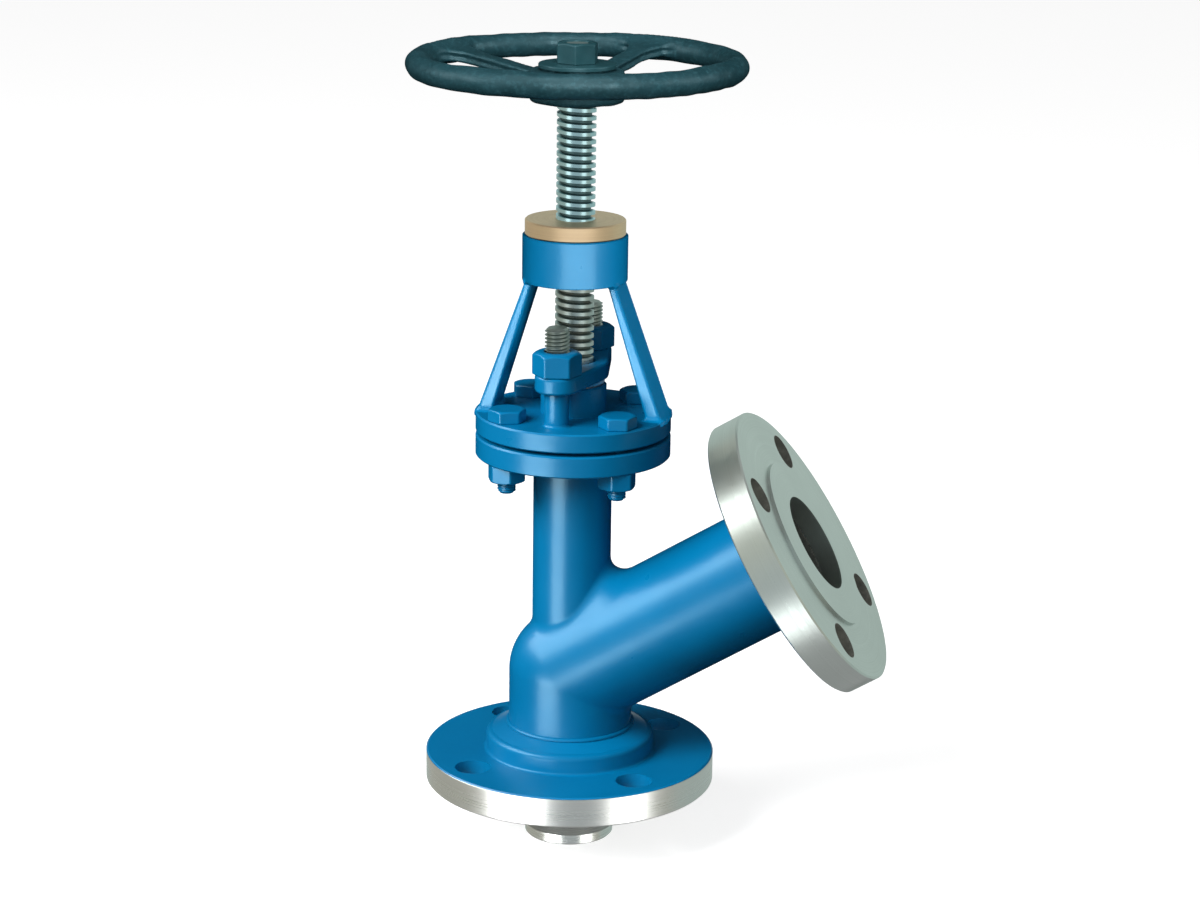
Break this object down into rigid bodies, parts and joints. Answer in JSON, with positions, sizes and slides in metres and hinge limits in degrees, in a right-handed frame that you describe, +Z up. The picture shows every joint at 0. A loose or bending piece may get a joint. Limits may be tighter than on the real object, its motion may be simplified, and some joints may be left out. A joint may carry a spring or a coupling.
{
  "type": "globe valve",
  "caption": "Y-pattern flush-bottom globe valve with flanged ends, a bolted yoke bonnet, a packed gland and a handwheel on a rising stem that moves the disc.",
  "frame": {"origin": "on the stem axis, at the underside of the tank flange plate, which is the centre of its bolt circle", "axes": "+Z up the stem towards the handwheel; the outlet branch rises towards +X in the XZ plane; the gland studs stand fore and aft near the Y axis"},
  "size_m": [0.252, 0.1722, 0.4215],
  "materials": {
    "blue_paint": "satin blue enamel",
    "machined_steel": "turned, bare",
    "stainless_steel": "turned and ground",
    "stud_steel": "plain rolled thread",
    "bronze": "turned",
    "cast_iron": "dark painted casting",
    "black_steel": "dark oxide",
    "graphite": "compressed graphite"
  },
  "bodies": {
    "valve_body": {"body": "blue_paint", "tank_flange": "blue_paint", "outlet_flange": "machined_steel", "neck_flange": "blue_paint", "seat_ring": "stainless_steel", "bonnet_gasket": "graphite", "bonnet_plate": "blue_paint", "bonnet_bolts": "blue_paint", "bonnet_nuts": "blue_paint", "stuffing_box": "blue_paint", "guide_bush": "bronze", "packing_rings": "graphite", "gland_studs": "stud_steel", "yoke_arm_left": "blue_paint", "yoke_arm_right": "blue_paint", "yoke_ring": "blue_paint", "yoke_bush": "bronze", "bush_screw": "stud_steel"},
    "disc_assembly": {"disc": "stainless_steel", "disc_nut": "stainless_steel"},
    "stem_assembly": {"stem": "stainless_steel", "handwheel": "cast_iron", "handwheel_washer": "stud_steel", "handwheel_nut": "black_steel"},
    "gland": {"gland_flange": "blue_paint", "gland_follower": "stainless_steel"},
    "front_nut": {"gland_nut_front": "blue_paint"},
    "back_nut": {"gland_nut_back": "blue_paint"}
  },
  "joints": [
    {"name": "stem_lift", "type": "slide", "parent": "valve_body", "child": "disc_assembly", "axis": [0, 0, 1], "range_m": [0, 0.03]},
    {"name": "stem_turn", "type": "hinge", "parent": "disc_assembly", "child": "stem_assembly", "pos_m": [0, 0, 0.36], "axis": [0, 0, 1], "range_deg": [-2699, 0]},
    {"name": "gland_travel", "type": "slide", "parent": "valve_body", "child": "gland", "axis": [0, 0, 1], "range_m": [0, 0.0078]},
    {"name": "gland_nut_front_turn", "type": "hinge", "parent": "gland", "child": "front_nut", "pos_m": [-0.00201, -0.03294, 0.2329], "axis": [0, 0, 1], "range_deg": [0, 1437.1]},
    {"name": "gland_nut_back_turn", "type": "hinge", "parent": "gland", "child": "back_nut", "pos_m": [0.00201, 0.03294, 0.2329], "axis": [0, 0, 1], "range_deg": [0, 1437.1]}
  ],
  "couplings": [
    {"joint": "stem_lift", "follows": "stem_turn", "m_per_rad": -0.00063662},
    {"joint": "gland_nut_front_turn", "follows": "gland_travel", "rad_per_m": 3215.6},
    {"joint": "gland_nut_back_turn", "follows": "gland_travel", "rad_per_m": 3215.6}
  ]
}
